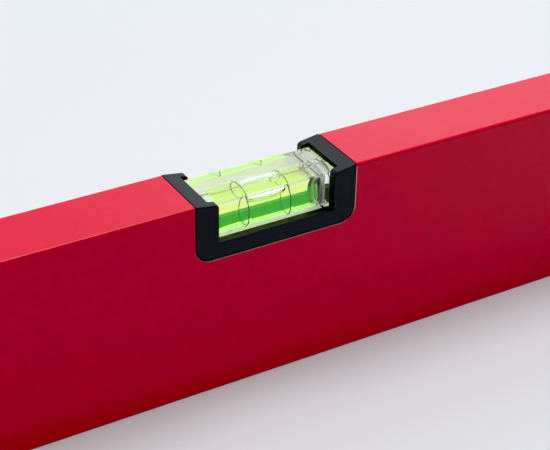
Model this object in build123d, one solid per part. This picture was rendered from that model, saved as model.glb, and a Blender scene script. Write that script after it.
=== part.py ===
from build123d import *
import os

# Spirit level: a 400 mm box section with a horizontal vial let into its top and a plumb vial near
# its right end.  Millimetres.  X runs along the level, Y from front to back, Z up.  The origin is
# the middle of the measuring base.

# ---- the level as a whole
LEVEL_LENGTH = 400.0
PROFILE_HEIGHT = 60.0
PROFILE_WIDTH = 20.0

# ---- box section
SIDE_WALL = 1.5
TOP_WALL = 2.2
BASE_WALL = 3.0
WEB_THICKNESS = 1.4
WEB_TOPS = (20.7, 40.0)
TOP_EDGE_RADIUS = 0.8
BASE_EDGE_RADIUS = 0.3
CELL_RADIUS = 1.2
CUT_GAP = 0.15
CUT_DEBURR = 0.1

# ---- acrylic block vial: a square block with a barrel-shaped bore, drilled from one end
BLOCK_LENGTH = 40.0
BLOCK_SIDE = 15.0
BLOCK_BEVEL = 0.25
BORE_RADIUS = 4.7
BORE_CROWN = 0.05
BORE_BLIND_END = -15.6
BORE_PLUG_END = 15.1
RING_SPACING = 13.0
RING_WIDTH = 0.25
RING_DEPTH = 0.1
PLUG_RECESS = 0.4
PLUG_GROOVE = (1.6, 2.4)
PLUG_GROOVE_RADIUS = 4.15
BUBBLE_LENGTH = 12.4
BUBBLE_WIDTH = 5.8
BUBBLE_DEPTH = 2.6
BUBBLE_ROUNDING = 2.0
BUBBLE_WALL_GAP = 0.08
STANDING_BUBBLE_DIAMETER = 7.2
STANDING_BUBBLE_DEPTH = 2.6

# ---- black housings
ARM_THICKNESS = 4.5
POCKET_GAP = 0.1
HOUSING_RADIUS = 4.5
HOUSING_EDGE = 0.3
BLOCK_BELOW_TOP = 2.0
LIP_REACH = 2.4
LEDGE_BELOW_TOP = 12.5
ARM_SLOPE_DROP = 1.1
LIP_CORNER_RADIUS = 1.2
BED_THICKNESS = 0.8
NOTCH_BELOW_BLOCK = 0.4
HOUSING_FLOOR = 1.2
CAVITY_GAP = 0.1
SNAP_REACH = 0.6
SNAP_LENGTH = 2.0
SNAP_WIDTH = 10.0
PLUMB_X = 150.0
PLUMB_WINDOW_WIDTH = 10.4
PEG_RADIUS = 1.0
PEG_LENGTH = 2.0
PEG_GAP = 0.05
PEG_INSET = 2.5

# ---- end caps
CAP_PLATE = 4.4
CAP_EDGE_RADIUS = 0.7
CAP_PLUG_DEPTH = 12.0
CAP_PLUG_WALL = 1.6
BUFFER_WIDTH = 10.0
BUFFER_HEIGHT = 44.0
BUFFER_RECESS = 2.0
BUFFER_PROUD = 0.6
BUFFER_EDGE = 0.4
STUD_RADIUS = 2.0
STUD_HEAD_RADIUS = 2.8
STUD_HEAD_LENGTH = 1.2

# ---- working tolerances: how near an edge lies to a plane, and how far a cutter runs past a face
TOUCH = 0.01
OVERRUN = 1.0

# ---- sizes that follow from the ones above
PROFILE_LENGTH = LEVEL_LENGTH - 2 * (CAP_PLATE + BUFFER_PROUD)
INNER_WIDTH = PROFILE_WIDTH - 2 * SIDE_WALL
HOUSING_LENGTH = BLOCK_LENGTH + 2 * (POCKET_GAP + ARM_THICKNESS)
VIAL_Z = PROFILE_HEIGHT - BLOCK_BELOW_TOP - BLOCK_SIDE / 2
BLOCK_BOTTOM_Z = VIAL_Z - BLOCK_SIDE / 2
BED_BOTTOM_Z = BLOCK_BOTTOM_Z - BED_THICKNESS
NOTCH_Z = BLOCK_BOTTOM_Z - NOTCH_BELOW_BLOCK
HOUSING_BOTTOM_Z = BED_BOTTOM_Z - HOUSING_FLOOR
POCKET_WIDTH = BLOCK_SIDE + 2 * POCKET_GAP
POCKET_LENGTH = BLOCK_LENGTH + 2 * POCKET_GAP
WINDOW_LENGTH = BLOCK_LENGTH + 2 * POCKET_GAP - 2 * LIP_REACH
PLUMB_Z = PROFILE_HEIGHT / 2
PLUMB_POCKET = BLOCK_SIDE + 2 * (BED_THICKNESS + POCKET_GAP)
PLUMB_HOUSING_WIDTH = PLUMB_POCKET + 2 * (ARM_THICKNESS - BED_THICKNESS)
CELLS = ((BASE_WALL, WEB_TOPS[0] - WEB_THICKNESS), (WEB_TOPS[0], WEB_TOPS[1] - WEB_THICKNESS),
         (WEB_TOPS[1], PROFILE_HEIGHT - TOP_WALL))
STUD_HEIGHTS = tuple((low + high) / 2 for low, high in (CELLS[0], CELLS[2]))


def along_y(outline, depth):
    """A side-view outline, drawn in X and Z, made solid from -depth to +depth in Y."""
    return extrude(Plane.XZ * outline, amount=depth, both=True)


def box_between(low, high):
    """A box from its lowest to its highest corner."""
    size = [b - a for a, b in zip(low, high)]
    return Pos(*[(a + b) / 2 for a, b in zip(low, high)]) * Box(*size)


def edges_at(solid, axis, place):
    """The edges whose middles lie at one place along an axis."""
    return solid.edges().filter_by_position(axis, place - TOUCH, place + TOUCH)


# ---------------------------------------------------------------- box section
def section_outline():
    outline = Rectangle(PROFILE_WIDTH, PROFILE_HEIGHT)
    outline = fillet(outline.vertices().sort_by(Axis.Y)[-2:], TOP_EDGE_RADIUS)
    return fillet(outline.vertices().sort_by(Axis.Y)[:2], BASE_EDGE_RADIUS)


def notch_outline():
    """The housing's place in the top: open upwards, with rounded lower corners."""
    length = HOUSING_LENGTH + 2 * CUT_GAP
    low = NOTCH_Z - CUT_GAP
    notch = Pos(0, low + PROFILE_HEIGHT / 2) * Rectangle(length, PROFILE_HEIGHT)
    return fillet(notch.vertices().sort_by(Axis.Y)[:2], HOUSING_RADIUS + CUT_GAP)


def plumb_outline(growth):
    """The plumb housing's outline, or its cut-out when growth is the gap round it."""
    shape = RectangleRounded(PLUMB_HOUSING_WIDTH + 2 * growth, HOUSING_LENGTH + 2 * growth,
                             HOUSING_RADIUS + growth)
    return Pos(PLUMB_X, PLUMB_Z) * shape


def make_profile():
    section = Pos(0, PROFILE_HEIGHT / 2) * section_outline()
    for low, high in CELLS:
        section -= Pos(0, (low + high) / 2) * RectangleRounded(INNER_WIDTH, high - low, CELL_RADIUS)
    bar = extrude(Plane.YZ * section, amount=PROFILE_LENGTH / 2, both=True)
    for outline in (notch_outline(), plumb_outline(CUT_GAP)):
        bar -= along_y(outline, PROFILE_WIDTH)
    return chamfer(cut_edges(bar), CUT_DEBURR)


def cut_edges(bar):
    """The edges that both cut-outs leave on the front and back faces."""
    faces = edges_at(bar, Axis.Y, -PROFILE_WIDTH / 2) + edges_at(bar, Axis.Y, PROFILE_WIDTH / 2)
    reach = PROFILE_LENGTH / 2 - OVERRUN
    floor, ceiling = OVERRUN, PROFILE_HEIGHT - TOP_EDGE_RADIUS - OVERRUN
    return [edge for edge in faces
            if abs(edge.center().X) < reach and floor < edge.center().Z < ceiling]


# ---------------------------------------------------------------- block vial, its axis along X
def barrel_profile(start, end):
    """Half of the bore's section: a slightly crowned line above the axis."""
    middle = (start + end) / 2
    foot = BORE_RADIUS - BORE_CROWN
    crown = ThreePointArc((start, foot), (middle, BORE_RADIUS), (end, foot))
    rest = Polyline((end, foot), (end, 0), (start, 0), (start, foot))
    return make_face(crown + rest)


def make_chamber():
    """The space that the fluid and the bubble share."""
    return revolve(barrel_profile(BORE_BLIND_END, BORE_PLUG_END), axis=Axis.X)


def disc(start, end, radius):
    """A round disc on the vial's axis."""
    return Pos((start + end) / 2, 0, 0) * Rot(0, 90, 0) * Cylinder(radius, end - start)


def make_ring(position, chamber):
    """A fine ring of marking colour in a groove of the bore's wall."""
    groove = disc(position - RING_WIDTH / 2, position + RING_WIDTH / 2, BORE_RADIUS + RING_DEPTH)
    return groove - chamber


def make_block(chamber):
    block = chamfer(Box(BLOCK_LENGTH, BLOCK_SIDE, BLOCK_SIDE).edges(), BLOCK_BEVEL)
    block -= chamber
    block -= disc(BORE_PLUG_END, BLOCK_LENGTH / 2, BORE_RADIUS - BORE_CROWN)
    for position in (-RING_SPACING / 2, RING_SPACING / 2):
        block -= disc(position - RING_WIDTH / 2, position + RING_WIDTH / 2,
                      BORE_RADIUS + RING_DEPTH)
    return block


def make_plug():
    """A round stopper with a groove for the sealing ring."""
    plug = disc(BORE_PLUG_END, BLOCK_LENGTH / 2 - PLUG_RECESS, BORE_RADIUS - BORE_CROWN)
    return plug - make_seal()


def make_seal():
    low, high = (BORE_PLUG_END + offset for offset in PLUG_GROOVE)
    return disc(low, high, BORE_RADIUS - BORE_CROWN) - disc(low, high, PLUG_GROOVE_RADIUS)


def make_lying_bubble():
    """A long bubble that lies against the top of the bore, rounded underneath."""
    body = scale(Sphere(1), by=(BUBBLE_LENGTH / 2, BUBBLE_WIDTH / 2, BUBBLE_ROUNDING))
    roof = BORE_RADIUS - BORE_CROWN - BUBBLE_WALL_GAP
    raised = Pos(0, 0, roof - BUBBLE_DEPTH + BUBBLE_ROUNDING) * body
    return raised & disc(-BUBBLE_LENGTH, BUBBLE_LENGTH, roof)


def make_standing_bubble():
    """A flattened bubble under the blind end, where it floats while the vial stands upright."""
    radius = STANDING_BUBBLE_DIAMETER / 2
    body = scale(Sphere(1), by=(STANDING_BUBBLE_DEPTH / 2, radius, radius))
    return Pos(BORE_BLIND_END + STANDING_BUBBLE_DEPTH / 2 + BUBBLE_WALL_GAP, 0, 0) * body


def make_vial(bubble):
    """The pieces of one vial about its own centre, by their short names."""
    chamber = make_chamber()
    return {
        "block": make_block(chamber),
        "fluid": chamber - bubble,
        "bubble": bubble,
        "ring_left": make_ring(-RING_SPACING / 2, chamber),
        "ring_right": make_ring(RING_SPACING / 2, chamber),
        "plug": make_plug(),
        "plug_seal": make_seal(),
    }


# ---------------------------------------------------------------- horizontal vial's housing
def housing_outline():
    """Side view of the housing: arms whose tops fall gently towards the vial."""
    half = HOUSING_LENGTH / 2
    lip = WINDOW_LENGTH / 2
    top = PROFILE_HEIGHT
    inner_top = top - ARM_SLOPE_DROP
    ledge = top - LEDGE_BELOW_TOP
    points = [(-half, NOTCH_Z), (half, NOTCH_Z), (half, top), (lip, inner_top), (lip, ledge),
              (-lip, ledge), (-lip, inner_top), (-half, top)]
    outline = make_face(Polyline(*points, close=True))
    for height, radius in ((NOTCH_Z, HOUSING_RADIUS), (inner_top, LIP_CORNER_RADIUS),
                           (top, HOUSING_EDGE)):
        corners = outline.vertices().filter_by_position(Axis.Y, height - TOUCH, height + TOUCH)
        outline = fillet(corners, radius)
    return outline


def make_vial_housing():
    frame = along_y(housing_outline(), PROFILE_WIDTH / 2)
    edges = edges_at(frame, Axis.Y, -PROFILE_WIDTH / 2) + edges_at(frame, Axis.Y, PROFILE_WIDTH / 2)
    frame = fillet(edges, HOUSING_EDGE)
    half = HOUSING_LENGTH / 2
    inside = INNER_WIDTH / 2 - CAVITY_GAP
    frame += box_between((-half, -inside, HOUSING_BOTTOM_Z), (half, inside, NOTCH_Z + HOUSING_RADIUS))
    pocket_top = PROFILE_HEIGHT + OVERRUN
    frame -= box_between((-POCKET_LENGTH / 2, -POCKET_WIDTH / 2, BED_BOTTOM_Z),
                         (POCKET_LENGTH / 2, POCKET_WIDTH / 2, pocket_top))
    snap_top = PROFILE_HEIGHT - TOP_WALL - CAVITY_GAP
    for side in (-1, 1):
        wedge = make_face(Polyline((side * half, snap_top), (side * (half + SNAP_REACH), snap_top),
                                   (side * half, snap_top - SNAP_LENGTH), close=True))
        frame += along_y(wedge, SNAP_WIDTH / 2)
    return frame


def make_vial_bed():
    """The white bedding that fixes the block and lights it from below."""
    return box_between((-BLOCK_LENGTH / 2, -BLOCK_SIDE / 2, BED_BOTTOM_Z),
                       (BLOCK_LENGTH / 2, BLOCK_SIDE / 2, BLOCK_BOTTOM_Z))


# ---------------------------------------------------------------- plumb vial's housing
def make_plumb_half():
    """The front half about the housing's own centre. The rear half is the same moulding turned."""
    half = PROFILE_WIDTH / 2
    outline = RectangleRounded(PLUMB_HOUSING_WIDTH, HOUSING_LENGTH, HOUSING_RADIUS)
    shell = along_y(outline, half)
    shell = fillet(edges_at(shell, Axis.Y, -half), HOUSING_EDGE)
    window = RectangleRounded(PLUMB_WINDOW_WIDTH, WINDOW_LENGTH, LIP_CORNER_RADIUS)
    shell -= along_y(window, PROFILE_WIDTH)
    shell -= box_between((-PLUMB_POCKET / 2, -POCKET_WIDTH / 2, -POCKET_LENGTH / 2),
                         (PLUMB_POCKET / 2, POCKET_WIDTH / 2, POCKET_LENGTH / 2))
    shell &= box_between((-PROFILE_HEIGHT, -half, -PROFILE_HEIGHT), (PROFILE_HEIGHT, 0, PROFILE_HEIGHT))
    for side in (-1, 1):
        shell += snap_rib(side)
    peg_x = PLUMB_HOUSING_WIDTH / 2 - PEG_INSET
    peg_z = HOUSING_LENGTH / 2 - PEG_INSET
    for height in (-peg_z, peg_z):
        peg = Rot(90, 0, 0) * Cylinder(PEG_RADIUS, 2 * PEG_LENGTH)
        hole = Rot(90, 0, 0) * Cylinder(PEG_RADIUS + PEG_GAP, 2 * PEG_LENGTH + 4 * PEG_GAP)
        shell += Pos(peg_x, 0, height) * peg
        shell -= Pos(-peg_x, 0, height) * hole
    return shell


def snap_rib(side):
    """A wedge that springs behind the profile's side wall."""
    edge = side * PLUMB_HOUSING_WIDTH / 2
    front = -INNER_WIDTH / 2 + CAVITY_GAP
    wedge = make_face(Polyline((edge, front), (edge + side * SNAP_REACH, front),
                               (edge, front + SNAP_LENGTH), close=True))
    return extrude(wedge, amount=SNAP_WIDTH / 2, both=True)


def make_plumb_bed():
    """Bedding strips along both sides of the upright block."""
    strips = []
    for side in (-1, 1):
        near, far = BLOCK_SIDE / 2, BLOCK_SIDE / 2 + BED_THICKNESS
        low, high = sorted((side * near, side * far))
        strips.append(box_between((low, -BLOCK_SIDE / 2, -BLOCK_LENGTH / 2),
                                  (high, BLOCK_SIDE / 2, BLOCK_LENGTH / 2)))
    return strips


# ---------------------------------------------------------------- end caps, for the right end
def make_end_cap():
    start = PROFILE_LENGTH / 2
    outline = Pos(0, PROFILE_HEIGHT / 2) * section_outline()
    plate = extrude(Plane.YZ.offset(start) * outline, amount=CAP_PLATE)
    cap = fillet(edges_at(plate, Axis.X, start + CAP_PLATE), CAP_EDGE_RADIUS)
    for low, high in CELLS:
        width = INNER_WIDTH - 2 * CAVITY_GAP
        height = high - low - 2 * CAVITY_GAP
        middle = (low + high) / 2
        sleeve = RectangleRounded(width, height, CELL_RADIUS)
        sleeve -= RectangleRounded(width - 2 * CAP_PLUG_WALL, height - 2 * CAP_PLUG_WALL,
                                   CELL_RADIUS / 2)
        cap += extrude(Plane.YZ.offset(start - CAP_PLUG_DEPTH) * (Pos(0, middle) * sleeve),
                       amount=CAP_PLUG_DEPTH)
    recess = RectangleRounded(BUFFER_WIDTH, BUFFER_HEIGHT, BUFFER_WIDTH / 4)
    recess = Pos(0, PROFILE_HEIGHT / 2) * recess
    cap -= extrude(Plane.YZ.offset(start + CAP_PLATE - BUFFER_RECESS) * recess,
                   amount=2 * BUFFER_RECESS)
    for height in STUD_HEIGHTS:
        cap -= Pos(start, 0, height) * disc(-CAP_PLATE, CAP_PLATE, STUD_RADIUS)
    return cap


def make_end_buffer():
    """The rubber pad in the cap's face, held by two headed studs pulled through the cap."""
    inner_face = PROFILE_LENGTH / 2
    low = inner_face + CAP_PLATE - BUFFER_RECESS
    pad = RectangleRounded(BUFFER_WIDTH, BUFFER_HEIGHT, BUFFER_WIDTH / 4)
    pad = Pos(0, PROFILE_HEIGHT / 2) * pad
    buffer = extrude(Plane.YZ.offset(low) * pad, amount=BUFFER_RECESS + BUFFER_PROUD)
    buffer = fillet(edges_at(buffer, Axis.X, LEVEL_LENGTH / 2), BUFFER_EDGE)
    for height in STUD_HEIGHTS:
        stud = disc(inner_face, low, STUD_RADIUS)
        head = disc(inner_face - STUD_HEAD_LENGTH, inner_face, STUD_HEAD_RADIUS)
        buffer += Pos(0, 0, height) * (stud + head)
    return buffer


# ---------------------------------------------------------------- assembly
def make_parts():
    parts = {"profile": make_profile(), "vial_housing": make_vial_housing(),
             "vial_bed": make_vial_bed()}
    lying = Pos(0, 0, VIAL_Z)
    for name, solid in make_vial(make_lying_bubble()).items():
        parts["vial_" + name] = lying * solid
    upright = Pos(PLUMB_X, 0, PLUMB_Z) * Rot(0, 90, 0)
    names = {"ring_left": "ring_upper", "ring_right": "ring_lower"}
    for name, solid in make_vial(make_standing_bubble()).items():
        parts["plumb_" + names.get(name, name)] = upright * solid
    station = Pos(PLUMB_X, 0, PLUMB_Z)
    parts["plumb_housing_front"] = station * make_plumb_half()
    parts["plumb_housing_rear"] = station * Rot(0, 0, 180) * make_plumb_half()
    parts["plumb_bed"] = Compound([station * strip for strip in make_plumb_bed()])
    for side, turn in (("right", 0), ("left", 180)):
        parts["end_cap_" + side] = Rot(0, 0, turn) * make_end_cap()
        parts["end_buffer_" + side] = Rot(0, 0, turn) * make_end_buffer()
    return parts


os.makedirs("parts", exist_ok=True)
for node, shape in make_parts().items():
    export_step(shape, f"parts/{node}.step")
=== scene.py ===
"""A box-section spirit level with two block vials, finished and lit around its CAD frame."""
import math

import bmesh
import bpy
from mathutils import Matrix, Vector


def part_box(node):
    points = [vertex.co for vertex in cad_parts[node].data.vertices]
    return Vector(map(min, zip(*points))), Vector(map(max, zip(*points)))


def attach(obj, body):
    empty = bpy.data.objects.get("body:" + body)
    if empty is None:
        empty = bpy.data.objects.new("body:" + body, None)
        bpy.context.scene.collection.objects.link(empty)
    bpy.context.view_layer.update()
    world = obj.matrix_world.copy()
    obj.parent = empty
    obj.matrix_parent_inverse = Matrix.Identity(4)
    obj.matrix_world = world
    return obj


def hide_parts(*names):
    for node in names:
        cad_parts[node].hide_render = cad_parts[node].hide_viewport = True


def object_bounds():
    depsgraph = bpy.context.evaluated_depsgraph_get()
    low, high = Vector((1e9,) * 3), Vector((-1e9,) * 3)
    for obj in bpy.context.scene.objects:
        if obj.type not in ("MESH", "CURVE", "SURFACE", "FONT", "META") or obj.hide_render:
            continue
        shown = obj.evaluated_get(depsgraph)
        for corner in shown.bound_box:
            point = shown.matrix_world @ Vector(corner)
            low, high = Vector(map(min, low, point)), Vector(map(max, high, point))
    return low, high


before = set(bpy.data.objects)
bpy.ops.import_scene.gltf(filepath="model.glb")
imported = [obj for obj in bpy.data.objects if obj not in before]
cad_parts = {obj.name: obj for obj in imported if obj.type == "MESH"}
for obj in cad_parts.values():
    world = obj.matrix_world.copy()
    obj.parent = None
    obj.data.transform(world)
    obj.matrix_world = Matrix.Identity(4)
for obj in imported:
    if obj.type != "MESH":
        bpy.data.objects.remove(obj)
cad_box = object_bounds()

bl_info = {
    "name": "Spirit level",
    "version": (1, 0, 0),
    "blender": (4, 5, 0),
    "location": "3D View > Sidebar > Spirit Level",
    "description": "Coats, fills and lights a box-section spirit level with acrylic block vials",
    "category": "Object",
}

MM = 0.001
BODY = "level"


def box_middle(node):
    """The middle of a CAD node's box, in metres."""
    low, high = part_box(node)
    return (low + high) / 2


# The box section, in metres: its size comes from the frame
PROFILE_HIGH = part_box("profile")[1]
HALF_WIDTH = PROFILE_HIGH.y
EDGE_ROUNDING = 0.8 * MM
COAT_WRAP = 0.3 * MM  # how far the coat reaches down the cut edges of the notch
SKIN = 0.01 * MM

# The vials, in millimetres
BLOCK_BEVEL = 0.12
FLUID_GAP = 0.02
BUBBLE_GAP = 0.08
BUBBLE_ROUNDING = 2.0
BUBBLE_BLUNTNESS = 2.4
BLIND_END_CORNER = 0.8
# Height above the bubble's foot up to which the wetted bore wall carries a painted glow
PAINTED_GLOW_ABOVE_BUBBLE_FOOT = 1.4
RING_OVERLAP = 0.01
STOPPER_GAP = 0.005
STOPPER_GROOVE = 0.48
STOPPER_CHAMFER = 0.3
SEAL_GAP = 0.05
BED_THICKNESS = 0.8
BED_INSET = 0.3
BED_CONTACT = 0.02
BED_ROUNDING = 0.1
TOUCH = 0.01

# What a wall of clear plastic meets, as the order of a vial's wall materials; the last is fluid
# behind a wall that carries a painted glow
AIR, FLUID, BOND, SEALANT, PAINTED_GLOW_FLUID = range(5)

# The view
BLACK_POINT = 0.025
PATH_LENGTH = 32


# ---------------------------------------------------------------- colours and nodes
def linear(hex_colour):
    """An sRGB hex value, such as "c8102e", as linear red, green, blue and alpha."""
    parts = [int(hex_colour[i:i + 2], 16) / 255 for i in (0, 2, 4)]
    return [c / 12.92 if c <= 0.04045 else ((c + 0.055) / 1.055) ** 2.4 for c in parts] + [1.0]


def shown(colour):
    """The colour of a settings property with alpha, for a socket."""
    return [*colour, 1.0]


def add_node(tree, kind, sockets=None, **settings):
    """Adds a node with its settings; a socket takes either a value or another node's output."""
    made = tree.nodes.new(kind)
    for name, value in settings.items():
        setattr(made, name, value)
    for name, value in (sockets or {}).items():
        if isinstance(value, bpy.types.NodeSocket):
            tree.links.new(value, made.inputs[name])
        else:
            made.inputs[name].default_value = value
    return made


def new_material(name):
    """An empty node material and its tree."""
    material = bpy.data.materials.new(name)
    material.use_nodes = True
    material.node_tree.nodes.clear()
    return material, material.node_tree


def finish_material(tree, surface, volume=None):
    """Closes a material's tree with its output."""
    sockets = {"Surface": surface}
    if volume is not None:
        sockets["Volume"] = volume
    add_node(tree, "ShaderNodeOutputMaterial", sockets)


def material_once(name, make, *values):
    """The material of that name, made the first time it is asked for."""
    return bpy.data.materials.get(name) or make(*values)


def ramp(tree, factor, stops):
    """A colour ramp through (position, colour) stops."""
    made = add_node(tree, "ShaderNodeValToRGB", {"Fac": factor})
    elements = made.color_ramp.elements
    elements[0].position, elements[0].color = stops[0]
    elements[1].position, elements[1].color = stops[-1]
    for position, colour in stops[1:-1]:
        elements.new(position).color = colour
    return made.outputs["Color"]


def grain(tree, size, detail=2.0, stretch=(1, 1, 1)):
    """Noise whose lumps are about size metres across, in the object's own coordinates."""
    place = add_node(tree, "ShaderNodeTexCoord").outputs["Object"]
    scaled = add_node(tree, "ShaderNodeMapping", {"Vector": place, "Scale": stretch})
    made = add_node(tree, "ShaderNodeTexNoise",
                    {"Vector": scaled.outputs["Vector"], "Scale": 0.5 / size, "Detail": detail})
    return made.outputs["Fac"]


# ---------------------------------------------------------------- settings
class CoatSettings(bpy.types.PropertyGroup):
    red: bpy.props.FloatVectorProperty(
        name="Coat colour", description="Powder coat of the box section", subtype="COLOR",
        size=3, min=0, max=1, default=linear("de0038")[:3])
    peel: bpy.props.FloatProperty(
        name="Orange peel", description="Width of one lump of the coat's orange peel",
        unit="LENGTH", default=0.7 * MM)
    relief: bpy.props.FloatProperty(
        name="Peel depth", description="Height of the coat's orange peel", unit="LENGTH",
        default=0.005 * MM)


class PlasticSettings(bpy.types.PropertyGroup):
    black: bpy.props.FloatVectorProperty(
        name="Plastic colour", description="Moulded housings and end caps", subtype="COLOR",
        size=3, min=0, max=1, default=linear("14191f")[:3])
    spark: bpy.props.FloatProperty(
        name="Texture width", description="Width of one pit of the moulded texture",
        unit="LENGTH", default=0.12 * MM)


class VialSettings(bpy.types.PropertyGroup):
    tint: bpy.props.FloatVectorProperty(
        name="Fluid colour", description="What the fluid lets through", subtype="COLOR",
        size=3, min=0, max=1, default=linear("fdf668")[:3])
    # The fluid's glow is painted light: a constant emission on the lower bore wall that stands in
    # for the dye's fluorescence
    glow: bpy.props.FloatVectorProperty(
        name="Fluid glow", description="Colour of the dye's fluorescence", subtype="COLOR",
        size=3, min=0, max=1, default=linear("08e048")[:3])
    painted_glow_strength: bpy.props.FloatProperty(
        name="Glow strength", description="Light the dyed fluid gives off at the bore's wall",
        default=0.25)
    acrylic_index: bpy.props.FloatProperty(
        name="Acrylic index", description="Refractive index of the block", default=1.49)
    fluid_index: bpy.props.FloatProperty(
        name="Fluid index", description="Refractive index of the fluid", default=1.38)
    sealant_index: bpy.props.FloatProperty(
        name="Sealant index", description="Refractive index of the cured sealant", default=1.42)


class StageSettings(bpy.types.PropertyGroup):
    floor: bpy.props.FloatVectorProperty(
        name="Floor colour", description="Plain pale floor", subtype="COLOR",
        size=3, min=0, max=1, default=linear("dfe2e5")[:3])
    lens: bpy.props.FloatProperty(
        name="Lens", description="Focal length on a 36 mm sensor", default=104.7)
    azimuth: bpy.props.FloatProperty(
        name="Azimuth", description="Turn of the view to the left of the front face",
        subtype="ANGLE", default=math.radians(30.87))
    elevation: bpy.props.FloatProperty(
        name="Elevation", description="Height of the view above the horizon",
        subtype="ANGLE", default=math.radians(31.33))
    roll: bpy.props.FloatProperty(
        name="Roll", description="Lean of the camera", subtype="ANGLE",
        default=math.radians(1.12))
    distance: bpy.props.FloatProperty(
        name="Distance", description="From the camera to the vial", unit="LENGTH",
        default=430.2 * MM)


class LevelSettings(bpy.types.PropertyGroup):
    coat: bpy.props.PointerProperty(type=CoatSettings, name="Coat", description="Box section")
    plastic: bpy.props.PointerProperty(
        type=PlasticSettings, name="Plastic", description="Housings and caps")
    vial: bpy.props.PointerProperty(type=VialSettings, name="Vials", description="Block vials")
    stage: bpy.props.PointerProperty(type=StageSettings, name="Stage", description="View and light")


def settings():
    """The level's own settings in the open scene."""
    return bpy.context.scene.spirit_level


# ---------------------------------------------------------------- materials
def powder_coated_aluminium(coat):
    """Polyester powder baked on: semi-gloss, with the fine orange peel that breaks up its shine."""
    material, tree = new_material("powder_coated_aluminium")
    coarse = grain(tree, coat.peel, detail=1.0)
    flow = grain(tree, 2 * coat.peel, detail=4.0)
    red = shown(coat.red)
    deeper = [0.94 * c for c in red[:3]] + [1.0]
    colour = ramp(tree, flow, [(0.35, deeper), (0.6, red)])
    bump = add_node(tree, "ShaderNodeBump",
                    {"Height": coarse, "Strength": 1.0, "Distance": coat.relief})
    gloss = add_node(tree, "ShaderNodeMapRange",
                     {"Value": coarse, "To Min": 0.28, "To Max": 0.36})
    shader = add_node(tree, "ShaderNodeBsdfPrincipled",
                      {"Base Color": colour, "Roughness": gloss.outputs["Result"],
                       "Normal": bump.outputs["Normal"], "Specular IOR Level": 0.35})
    finish_material(tree, shader.outputs["BSDF"])
    return material


def milled_aluminium():
    """Bare aluminium under a face mill: bright, with fine overlapping cutter lines."""
    material, tree = new_material("milled_aluminium")
    lines = grain(tree, 0.15 * MM, detail=1.0, stretch=(1, 0.08, 1))
    bump = add_node(tree, "ShaderNodeBump",
                    {"Height": lines, "Strength": 0.5, "Distance": 0.01 * MM})
    shader = add_node(tree, "ShaderNodeBsdfPrincipled",
                      {"Base Color": linear("c6c8cb"), "Metallic": 1.0, "Roughness": 0.32,
                       "Normal": bump.outputs["Normal"]})
    finish_material(tree, shader.outputs["BSDF"])
    return material


def moulded_abs(plastic):
    """Injection-moulded ABS with an eroded mould texture: a dark satin that greys at low angles."""
    material, tree = new_material("moulded_abs")
    pits = grain(tree, plastic.spark, detail=2.0)
    bump = add_node(tree, "ShaderNodeBump",
                    {"Height": pits, "Strength": 0.6, "Distance": 0.01 * MM})
    gloss = add_node(tree, "ShaderNodeMapRange",
                     {"Value": pits, "To Min": 0.42, "To Max": 0.58})
    shader = add_node(tree, "ShaderNodeBsdfPrincipled",
                      {"Base Color": shown(plastic.black), "Roughness": gloss.outputs["Result"],
                       "Normal": bump.outputs["Normal"], "IOR": 1.54,
                       "Specular IOR Level": 0.42})
    finish_material(tree, shader.outputs["BSDF"])
    return material


def moulded_rubber():
    """Moulded synthetic rubber: matt and slightly dusty, softer than the plastic round it."""
    material, tree = new_material("moulded_rubber")
    dust = grain(tree, 0.4 * MM, detail=4.0)
    colour = ramp(tree, dust, [(0.35, linear("2b2c2e")), (0.7, linear("3a3b3d"))])
    bump = add_node(tree, "ShaderNodeBump",
                    {"Height": dust, "Strength": 0.4, "Distance": 0.02 * MM})
    shader = add_node(tree, "ShaderNodeBsdfPrincipled",
                      {"Base Color": colour, "Roughness": 0.8, "Normal": bump.outputs["Normal"],
                       "IOR": 1.52})
    finish_material(tree, shader.outputs["BSDF"])
    return material


def cast_bedding():
    """White casting compound set against the block: chalky, with a painted glow that makes it the
    brightest thing under it.
    """
    material, tree = new_material("cast_bedding")
    clouds = grain(tree, 1.5 * MM, detail=3.0)
    colour = ramp(tree, clouds, [(0.3, linear("f6f7f4")), (0.7, linear("fdfdfb"))])
    # The emission is a painted glow that brightens the bed seen through the block
    shader = add_node(tree, "ShaderNodeBsdfPrincipled",
                      {"Base Color": colour, "Roughness": 0.9,
                       "Emission Color": linear("fff6e4"), "Emission Strength": 0.25})
    finish_material(tree, shader.outputs["BSDF"])
    return material


def clear_plastic(name, index, glow=(0, 0, 0), strength=0.0):
    """A polished wall of clear plastic that bends light by index against what lies beyond it, and
    can carry a painted glow.
    """
    material, tree = new_material(name)
    shader = add_node(tree, "ShaderNodeBsdfPrincipled",
                      {"Base Color": linear("fcfffd"), "Roughness": 0.0, "IOR": index,
                       "Specular IOR Level": 0.3, "Transmission Weight": 1.0,
                       "Emission Color": shown(glow), "Emission Strength": strength})
    finish_material(tree, shader.outputs["BSDF"])
    return material


def bonded_joint():
    """Two faces of acrylic run together with solvent: nothing is left to see between them."""
    material, tree = new_material("bonded_joint")
    shader = add_node(tree, "ShaderNodeBsdfTransparent", {"Color": linear("ffffff")})
    finish_material(tree, shader.outputs["BSDF"])
    return material


def dyed_fluid(vial):
    """Mineral spirit with a fluorescent dye that takes blue out of the light going through it."""
    material, tree = new_material("dyed_fluid")
    surface = add_node(tree, "ShaderNodeBsdfPrincipled",
                       {"Base Color": linear("ffffff"), "Roughness": 0.0, "IOR": 1.0,
                        "Transmission Weight": 1.0})
    absorbed_per_mm = 0.16
    absorb = add_node(tree, "ShaderNodeVolumeAbsorption",
                      {"Color": shown(vial.tint), "Density": absorbed_per_mm / MM})
    finish_material(tree, surface.outputs["BSDF"], absorb.outputs["Volume"])
    return material


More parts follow.
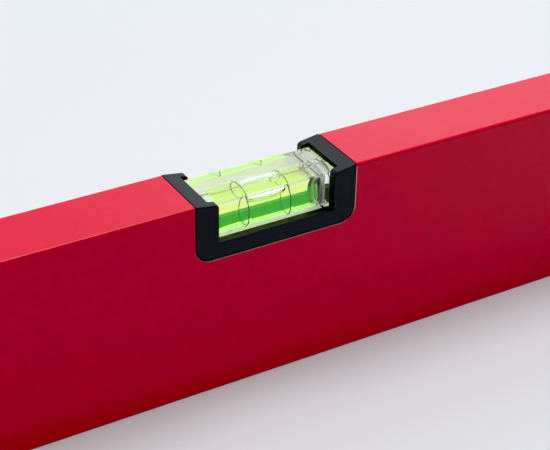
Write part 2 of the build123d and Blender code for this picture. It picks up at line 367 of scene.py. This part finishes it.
def marking_ink():
    """Dark marking colour wiped into a turned groove: matt, and a little brown where it is thin."""
    material, tree = new_material("marking_ink")
    worn = grain(tree, 0.5 * MM, detail=2.0)
    colour = ramp(tree, worn, [(0.3, linear("1c1510")), (0.7, linear("3a2c1e"))])
    shader = add_node(tree, "ShaderNodeBsdfPrincipled", {"Base Color": colour, "Roughness": 0.7})
    finish_material(tree, shader.outputs["BSDF"])
    return material


def cured_sealant():
    """A ring of cured sealant: water clear, with a faint haze where it was wiped."""
    material, tree = new_material("cured_sealant")
    shader = add_node(tree, "ShaderNodeBsdfPrincipled",
                      {"Base Color": linear("f4f8f0"), "Roughness": 0.3, "IOR": 1.42,
                       "Transmission Weight": 0.5})
    finish_material(tree, shader.outputs["BSDF"])
    return material


def plain_floor(stage):
    """Matt paper on a table."""
    material, tree = new_material("plain_floor")
    shader = add_node(tree, "ShaderNodeBsdfPrincipled",
                      {"Base Color": shown(stage.floor), "Roughness": 0.9,
                       "Specular IOR Level": 0.2})
    finish_material(tree, shader.outputs["BSDF"])
    return material


# ---------------------------------------------------------------- meshes
def piece_from(name, mesh, place, materials, node=None, body=BODY):
    """Puts a mesh, made in millimetres about its own centre, into the level's frame."""
    mesh.transform(place @ Matrix.Scale(MM, 4))
    for material in materials:
        mesh.materials.append(material)
    piece = bpy.data.objects.new(name, mesh)
    bpy.context.scene.collection.objects.link(piece)
    if node:
        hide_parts(node)
    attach(piece, body)


def mesh_from(name, bm):
    """A new mesh from bm, with its faces turned outward."""
    bmesh.ops.recalc_face_normals(bm, faces=bm.faces)
    mesh = bpy.data.meshes.new(name)
    bm.to_mesh(mesh)
    bm.free()
    return mesh


def rounded_box(size, bevel, segments=3):
    """A box with rounded edges, about its own centre."""
    bm = bmesh.new()
    bmesh.ops.create_cube(bm, size=1.0)
    bmesh.ops.scale(bm, vec=size, verts=bm.verts)
    bmesh.ops.bevel(bm, geom=bm.edges[:], offset=bevel, segments=segments, affect="EDGES",
                    profile=0.5)
    return bm


def turn(bm, outline, segments=128):
    """Turns an outline of (x, radius) points about the X axis; radius 0 closes an end."""
    rings = []
    for x, radius in outline:
        if radius == 0:
            rings.append([bm.verts.new((x, 0, 0))])
            continue
        ring = []
        for i in range(segments):
            angle = 2 * math.pi * i / segments
            ring.append(bm.verts.new((x, radius * math.sin(angle), radius * math.cos(angle))))
        rings.append(ring)
    for a, b in zip(rings, rings[1:]):
        for i in range(segments):
            j = (i + 1) % segments
            corners = [a[i % len(a)], a[j % len(a)], b[j % len(b)], b[i % len(b)]]
            bm.faces.new(dict.fromkeys(corners))


def turn_band(bm, start, end, inner, outer):
    """Turns a rectangle about the X axis into a closed ring."""
    turn(bm, [(start, inner), (start, outer), (end, outer), (end, inner), (start, inner)])
    bmesh.ops.remove_doubles(bm, verts=bm.verts, dist=1e-5)


def smooth_round_walls(mesh):
    """Shades walls that curve about X smoothly and leaves flat ends flat."""
    end_tilt = 0.9
    for face in mesh.polygons:
        face.use_smooth = abs(face.normal.x) < end_tilt


# ---------------------------------------------------------------- vials
class Vial:
    """One block vial, read from the frame: its place, and its sizes in millimetres along X."""

    def __init__(self, prefix, place):
        self.prefix = prefix
        self.place = place
        self.back = place.inverted()
        self.block = self.local("block")
        self.fluid = self.local("fluid")
        self.bubble = self.local("bubble")
        self.plug = self.local("plug")
        self.seal = self.local("plug_seal")
        self.bore = self.fluid[1].y
        self.foot = self.plug[1].y
        rings = [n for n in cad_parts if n.startswith(prefix + "ring")]
        self.rings = {n: self.local(n[len(prefix):]) for n in rings}

    def local(self, name):
        """A CAD node's lowest and highest corners about the vial's own centre."""
        corners = [self.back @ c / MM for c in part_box(self.prefix + name)]
        low = Vector([min(a, b) for a, b in zip(*corners)])
        high = Vector([max(a, b) for a, b in zip(*corners)])
        return low, high

    def wall(self, x):
        """The crowned bore's radius at x."""
        start, end = self.fluid[0].x, self.fluid[1].x
        off = (2 * x - start - end) / (end - start)
        return self.bore - (self.bore - self.foot) * off * off

    def wall_kind(self, x):
        """What the bore's wall meets at x."""
        if x < self.plug[0].x:
            return FLUID
        if self.seal[0].x < x < self.seal[1].x:
            return SEALANT
        return BOND if x < self.plug[1].x else AIR

    def blind_end(self, start, gap):
        """The rounded corner a ball-nosed cutter leaves at the closed end of the bore."""
        corner, steps = BLIND_END_CORNER, 8
        rim = self.wall(start + corner) - gap
        angles = [math.pi / 2 * i / steps for i in range(steps, -1, -1)]
        return [(start + corner * (1 - math.sin(a)), rim - corner * (1 - math.cos(a)))
                for a in angles]

    def bore_outline(self, gap=0.0, grooves=True):
        """The chamber's outline from its blind end to the stopper."""
        start, end = self.fluid[0].x + gap, self.fluid[1].x - gap
        steps, clear = 24, 0.1
        stations = [start + (end - start) * i / steps for i in range(2, steps + 1)]
        points = self.blind_end(start, gap) + [(x, self.wall(x) - gap) for x in stations]
        for low, high in self.rings.values() if grooves else ():
            points = [p for p in points if not low.x - clear < p[0] < high.x + clear]
            points += [(low.x, self.wall(low.x)), (low.x, high.y), (high.x, high.y),
                       (high.x, self.wall(high.x))]
            points.sort(key=lambda p: p[0])
        return [(start, 0)] + points + [(end, 0)]


def bubble_surface(bm, vial, grow=0.0):
    """An air bubble: flattened against the wall above it and rounded below."""
    low, high = vial.bubble
    length, width, depth = high - low
    middle = (low + high) / 2
    lying = length > 2 * depth
    made = bmesh.ops.create_uvsphere(bm, u_segments=64, v_segments=40, radius=1.0,
                                     matrix=Matrix.Rotation(math.pi / 2, 4, "Y"))
    roof = vial.foot - BUBBLE_GAP + grow
    blunt, rounding = BUBBLE_BLUNTNESS, BUBBLE_ROUNDING
    for vert in made["verts"]:
        x, y, z = vert.co
        if lying:
            reach = (abs(x) ** blunt + (y * y + z * z) ** (blunt / 2)) ** (1 / blunt)
            x, y, z = x / reach, y / reach, z / reach
            z = low.z + rounding + z * (rounding + grow)
        else:
            z = middle.z + z * (depth / 2 + grow)
        x = middle.x + x * (length / 2 + grow)
        y = middle.y + y * (width / 2 + grow)
        radius = math.hypot(y, z)
        if lying and radius > roof:
            y, z = y * roof / radius, z * roof / radius
        vert.co = (x, y, z)


def cut_from(mesh, cutter):
    """The mesh with the cutter's solid taken out of it."""
    whole = bpy.data.objects.new("cut_blank", mesh)
    tool = bpy.data.objects.new("cut_tool", cutter)
    for thing in (whole, tool):
        bpy.context.scene.collection.objects.link(thing)
    cut = whole.modifiers.new("cut", "BOOLEAN")
    cut.operation, cut.solver, cut.object = "DIFFERENCE", "EXACT", tool
    bpy.context.view_layer.update()
    done = bpy.data.meshes.new_from_object(whole.evaluated_get(
        bpy.context.evaluated_depsgraph_get()))
    for thing in (whole, tool):
        bpy.data.objects.remove(thing)
    return done


def make_block(vial, materials):
    """The acrylic block, drilled from one end: its bore touches fluid as far as the stopper, and
    its wetted wall below a height near the bubble's foot carries a painted glow.
    """
    low, high = vial.block
    blank = mesh_from("blank", rounded_box(high - low, BLOCK_BEVEL))
    bm = bmesh.new()
    past_face = high.x + 1
    outline = vial.bore_outline()[:-1]
    steps = (vial.seal[0].x, vial.seal[1].x, vial.plug[1].x, past_face)
    outline += [(x, vial.foot) for x in steps] + [(past_face, 0)]
    turn(bm, outline)
    cutter = mesh_from("drill", bm)
    smooth_round_walls(cutter)
    mesh = cut_from(blank, cutter)
    # Wetted wall faces below this height get the painted glow, an emission standing in for the
    # dye's fluorescence
    painted_glow_top = vial.bubble[0].z + PAINTED_GLOW_ABOVE_BUBBLE_FOOT
    groove_reach, from_blind_face, from_open_face = 0.3, 0.5, 0.05
    for face in mesh.polygons:
        middle = face.center
        in_bore = math.hypot(middle.y, middle.z) < vial.foot + groove_reach
        if in_bore and low.x + from_blind_face < middle.x < high.x - from_open_face:
            kind = vial.wall_kind(middle.x)
            painted_glow_face = kind == FLUID and middle.z < painted_glow_top
            face.material_index = PAINTED_GLOW_FLUID if painted_glow_face else kind
    name = vial.prefix + "acrylic_block"
    piece_from(name, mesh, vial.place, materials, vial.prefix + "block")


def make_fluid(vial, material):
    """The fluid, a hair inside the bore's wall, with the hollow where the bubble floats."""
    bm = bmesh.new()
    turn(bm, vial.bore_outline(FLUID_GAP, grooves=False))
    bmesh.ops.recalc_face_normals(bm, faces=bm.faces)
    outer = set(bm.faces)
    bubble_surface(bm, vial, FLUID_GAP / 2)
    hollow = [f for f in bm.faces if f not in outer]
    bmesh.ops.reverse_faces(bm, faces=hollow)
    mesh = bpy.data.meshes.new("fluid")
    bm.to_mesh(mesh)
    bm.free()
    name = vial.prefix + "dyed_fluid"
    piece_from(name, mesh, vial.place, [material], vial.prefix + "fluid")


def make_bubble(vial, material, body):
    """The air bubble, which rides on its own body."""
    bm = bmesh.new()
    bubble_surface(bm, vial)
    mesh = mesh_from("bubble", bm)
    for face in mesh.polygons:
        face.use_smooth = True
    name = vial.prefix + "air_bubble"
    piece_from(name, mesh, vial.place, [material], vial.prefix + "bubble", body)


def make_rings(vial, material):
    """Both reading lines, each a band of ink that fills its groove."""
    for node, (low, high) in vial.rings.items():
        bm = bmesh.new()
        turn_band(bm, low.x - RING_OVERLAP, high.x + RING_OVERLAP,
                  vial.wall(low.x) - RING_OVERLAP, high.y + RING_OVERLAP)
        mesh = mesh_from("ring", bm)
        smooth_round_walls(mesh)
        piece_from(node.replace("ring", "reading_line"), mesh, vial.place, [material], node)


def make_stopper(vial, materials):
    """The stopper, bonded into the bore, with the groove that holds its seal."""
    low, high = vial.plug[0].x, vial.plug[1].x
    groove_low, groove_high = vial.seal[0].x, vial.seal[1].x
    radius = vial.foot - STOPPER_GAP
    waist = radius - STOPPER_GROOVE
    outline = [(low, 0), (low, radius), (groove_low, radius), (groove_low, waist),
               (groove_high, waist), (groove_high, radius), (high - STOPPER_CHAMFER, radius),
               (high, radius - STOPPER_CHAMFER), (high, 0)]
    bm = bmesh.new()
    turn(bm, outline)
    mesh = mesh_from("stopper", bm)
    smooth_round_walls(mesh)
    under_rim = 2 * TOUCH
    for face in mesh.polygons:
        x, off_axis = face.center.x, math.hypot(face.center.y, face.center.z)
        if x < low + TOUCH:
            face.material_index = FLUID
        elif groove_low - TOUCH < x < groove_high + TOUCH and off_axis < radius - under_rim:
            face.material_index = SEALANT
        elif x > high - STOPPER_CHAMFER - TOUCH:
            face.material_index = AIR
        else:
            face.material_index = BOND
    piece_from(vial.prefix + "stopper", mesh, vial.place, materials, vial.prefix + "plug")


def make_seal(vial, material):
    """The ring of sealant in the stopper's groove."""
    rim = vial.foot - STOPPER_GAP
    bm = bmesh.new()
    turn_band(bm, vial.seal[0].x + SEAL_GAP, vial.seal[1].x - SEAL_GAP,
              rim - STOPPER_GROOVE + SEAL_GAP, rim - SEAL_GAP)
    mesh = mesh_from("seal", bm)
    smooth_round_walls(mesh)
    piece_from(vial.prefix + "seal_ring", mesh, vial.place, [material],
               vial.prefix + "plug_seal")


def wall_materials(chosen):
    """The materials of the block and stopper, in the order AIR, FLUID, BOND, ..."""
    acrylic, fluid = chosen.acrylic_index, chosen.fluid_index
    polished, wetted, sealed, wetted_with_painted_glow = (
        material_once(name, clear_plastic, name, *values) for name, *values in (
            ("polished_acrylic", acrylic),
            ("acrylic_against_fluid", acrylic / fluid),
            ("acrylic_against_sealant", acrylic / chosen.sealant_index),
            ("acrylic_against_glowing_fluid", acrylic / fluid, chosen.glow,
             chosen.painted_glow_strength)))
    return [polished, wetted, material_once("bonded_joint", bonded_joint), sealed, wetted_with_painted_glow]


def make_vial(prefix, place, body):
    """All pieces of one vial."""
    chosen = settings().vial
    vial = Vial(prefix, place)
    walls = wall_materials(chosen)
    make_block(vial, walls)
    make_fluid(vial, material_once("dyed_fluid", dyed_fluid, chosen))
    make_bubble(vial, material_once("air_in_fluid", clear_plastic, "air_in_fluid",
                                    1 / chosen.fluid_index), body)
    make_rings(vial, material_once("marking_ink", marking_ink))
    make_stopper(vial, walls)
    make_seal(vial, material_once("cured_sealant", cured_sealant))


# ---------------------------------------------------------------- operators
class LEVEL_OT_box_section(bpy.types.Operator):
    """Coats the box section and leaves its base, cells and cut edges bare"""
    bl_idname = "spirit_level.box_section"
    bl_label = "Box section"

    def execute(self, context):
        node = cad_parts["profile"]
        mesh = node.data
        mesh.materials.clear()
        mesh.materials.append(powder_coated_aluminium(settings().coat))
        mesh.materials.append(milled_aluminium())
        top = PROFILE_HIGH.z
        for face in mesh.polygons:
            middle = face.center
            side = abs(middle.y) > HALF_WIDTH - SKIN
            rounded = abs(middle.y) > HALF_WIDTH - EDGE_ROUNDING and middle.z > top - EDGE_ROUNDING
            coated = side or rounded or middle.z > top - COAT_WRAP
            face.material_index = 0 if coated else 1
        return {"FINISHED"}


class LEVEL_OT_housings(bpy.types.Operator):
    """Finishes the black housings and beds the blocks in them"""
    bl_idname = "spirit_level.housings"
    bl_label = "Housings"

    def execute(self, context):
        black = material_once("moulded_abs", moulded_abs, settings().plastic)
        for name in ("vial_housing", "plumb_housing_front", "plumb_housing_rear"):
            paint(name, black)
        # The bedding carries a painted glow from its emission
        white = cast_bedding()
        low, high = bed_box("vial_bed", (BED_INSET, BED_INSET, 0))
        make_bed("vial_bed", white, [(low, high + Vector((0, 0, BED_CONTACT)))])
        low, high = bed_box("plumb_bed", (0, BED_INSET, BED_INSET))
        thick = BED_THICKNESS + BED_CONTACT
        make_bed("plumb_bed", white, [(low, Vector((low.x + thick, high.y, high.z))),
                                      (Vector((high.x - thick, low.y, low.z)), high)])
        return {"FINISHED"}


def paint(name, material):
    """Gives a CAD node one material."""
    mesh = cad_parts[name].data
    mesh.materials.clear()
    mesh.materials.append(material)


def bed_box(name, inset):
    """A bed's corners in millimetres, drawn in from the rounded edges of its block."""
    low, high = (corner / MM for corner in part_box(name))
    return low + Vector(inset), high - Vector(inset)


def make_bed(name, material, slabs):
    """Slabs of bedding, pressed a hair into the block so that no air lies between them."""
    bm = bmesh.new()
    for low, high in slabs:
        before = set(bm.verts)
        bmesh.ops.create_cube(bm, size=1.0)
        fresh = [v for v in bm.verts if v not in before]
        bmesh.ops.scale(bm, vec=high - low, verts=fresh)
        bmesh.ops.translate(bm, vec=(low + high) / 2, verts=fresh)
    bmesh.ops.bevel(bm, geom=bm.edges[:], offset=BED_ROUNDING, segments=2, affect="EDGES",
                    profile=0.5)
    mesh = mesh_from("bed", bm)
    piece_from(name.replace("bed", "white_bedding"), mesh, Matrix.Identity(4), [material], name)


class LEVEL_OT_horizontal_vial(bpy.types.Operator):
    """Builds the block vial that lies in the top edge"""
    bl_idname = "spirit_level.horizontal_vial"
    bl_label = "Horizontal vial"

    def execute(self, context):
        make_vial("vial_", Matrix.Translation(box_middle("vial_block")), "lying_bubble")
        return {"FINISHED"}


class LEVEL_OT_plumb_vial(bpy.types.Operator):
    """Builds the block vial that stands upright near the right end"""
    bl_idname = "spirit_level.plumb_vial"
    bl_label = "Plumb vial"

    def execute(self, context):
        place = Matrix.Translation(box_middle("plumb_block")) @ Matrix.Rotation(
            math.pi / 2, 4, "Y")
        make_vial("plumb_", place, "standing_bubble")
        return {"FINISHED"}


class LEVEL_OT_end_caps(bpy.types.Operator):
    """Finishes the end caps and their rubber pads"""
    bl_idname = "spirit_level.end_caps"
    bl_label = "End caps"

    def execute(self, context):
        black = material_once("moulded_abs", moulded_abs, settings().plastic)
        rubber = moulded_rubber()
        for side in ("left", "right"):
            paint("end_cap_" + side, black)
            paint("end_buffer_" + side, rubber)
        return {"FINISHED"}


class LEVEL_OT_stage(bpy.types.Operator):
    """Sets a pale floor, soft light and the camera"""
    bl_idname = "spirit_level.stage"
    bl_label = "Stage"

    def execute(self, context):
        stage = settings().stage
        make_floor(stage)
        make_lights()
        make_camera(stage)
        paths = context.scene.cycles
        paths.max_bounces = paths.transmission_bounces = PATH_LENGTH
        view = context.scene.view_settings
        view.view_transform = "Standard"
        view.use_curve_mapping = True
        view.curve_mapping.black_level = [BLACK_POINT] * 3
        return {"FINISHED"}


def make_floor(stage):
    """A plain floor under the level, wide enough to fill the view."""
    half_size = 6.0
    bm = bmesh.new()
    bmesh.ops.create_grid(bm, x_segments=1, y_segments=1, size=half_size)
    mesh = mesh_from("floor", bm)
    mesh.materials.append(plain_floor(stage))
    floor = bpy.data.objects.new("floor", mesh)
    floor.location.z = cad_box[0][2]
    bpy.context.scene.collection.objects.link(floor)


def area_light(name, place, size, power, colour):
    """A soft box at place, turned to face the middle of the level's top."""
    light = bpy.data.lights.new(name, "AREA")
    light.shape = "RECTANGLE"
    light.size, light.size_y = size
    light.energy = power
    light.color = linear(colour)[:3]
    lamp = bpy.data.objects.new(name, light)
    lamp.location = place
    aim = Vector((0, 0, PROFILE_HIGH.z)) - Vector(place)
    lamp.rotation_euler = aim.to_track_quat("-Z", "Y").to_euler()
    bpy.context.scene.collection.objects.link(lamp)


def make_lights():
    """Two soft boxes, and surroundings that are bright behind and dim in front."""
    world = bpy.data.worlds.new("studio")
    world.use_nodes = True
    tree = world.node_tree
    back = tree.nodes["Background"]
    way = add_node(tree, "ShaderNodeTexCoord").outputs["Generated"]
    facing = add_node(tree, "ShaderNodeVectorMath", {0: way, 1: (0, 0.75, 0.66)},
                      operation="DOT_PRODUCT")
    height = add_node(tree, "ShaderNodeMapRange",
                      {"Value": facing.outputs["Value"], "From Min": -1.0})
    fade = ramp(tree, height.outputs["Result"],
                [(0.45, linear("44474e")), (0.9, linear("eef2f8"))])
    tree.links.new(fade, back.inputs["Color"])
    bpy.context.scene.world = world
    area_light("overhead_softbox", (0.45, 0.0, 2.2), (1.6, 1.0), 31, "fffefc")
    area_light("back_softbox", (1.4, 1.5, 1.25), (1.2, 0.8), 3.2, "fffefc")


def make_camera(stage):
    """The view: aimed a little to the right of the vial and below the level's top."""
    camera = bpy.data.cameras.new("camera")
    camera.lens = stage.lens
    camera.sensor_width = 36.0
    camera.clip_end = 100
    eye = bpy.data.objects.new("camera", camera)
    turned = (Matrix.Rotation(-stage.azimuth, 3, "Z")
              @ Matrix.Rotation(math.pi / 2 - stage.elevation, 3, "X")
              @ Matrix.Rotation(stage.roll, 3, "Z"))
    aside, below = 4.15 * MM, 15.04 * MM
    seat = Vector((0, 0, PROFILE_HIGH.z)) + turned @ Vector((aside, -below, stage.distance))
    eye.matrix_world = Matrix.Translation(seat) @ turned.to_4x4()
    bpy.context.scene.collection.objects.link(eye)
    bpy.context.scene.camera = eye


# ---------------------------------------------------------------- panel
OPERATORS = (LEVEL_OT_box_section, LEVEL_OT_housings, LEVEL_OT_horizontal_vial,
             LEVEL_OT_plumb_vial, LEVEL_OT_end_caps, LEVEL_OT_stage)


class LEVEL_PT_sidebar(bpy.types.Panel):
    """Lists the level's pieces and their settings"""
    bl_idname = "LEVEL_PT_sidebar"
    bl_label = "Spirit Level"
    bl_space_type = "VIEW_3D"
    bl_region_type = "UI"
    bl_category = "Spirit Level"

    def draw(self, context):
        for operator in OPERATORS:
            self.layout.operator(operator.bl_idname)
        chosen = context.scene.spirit_level
        for group in (chosen.coat, chosen.plastic, chosen.vial, chosen.stage):
            column = self.layout.column()
            for name in group.__annotations__:
                column.prop(group, name)


CLASSES = (CoatSettings, PlasticSettings, VialSettings, StageSettings, LevelSettings,
           *OPERATORS, LEVEL_PT_sidebar)


def register():
    for item in CLASSES:
        bpy.utils.register_class(item)
    bpy.types.Scene.spirit_level = bpy.props.PointerProperty(
        type=LevelSettings, name="Spirit level", description="Sizes and colours of the level")


def unregister():
    del bpy.types.Scene.spirit_level
    for item in reversed(CLASSES):
        bpy.utils.unregister_class(item)


def main():
    """Builds the whole scene."""
    register()
    steps = bpy.ops.spirit_level
    steps.box_section()
    steps.housings()
    steps.horizontal_vial()
    steps.plumb_vial()
    steps.end_caps()
    steps.stage()


if __name__ == "__main__":
    main()
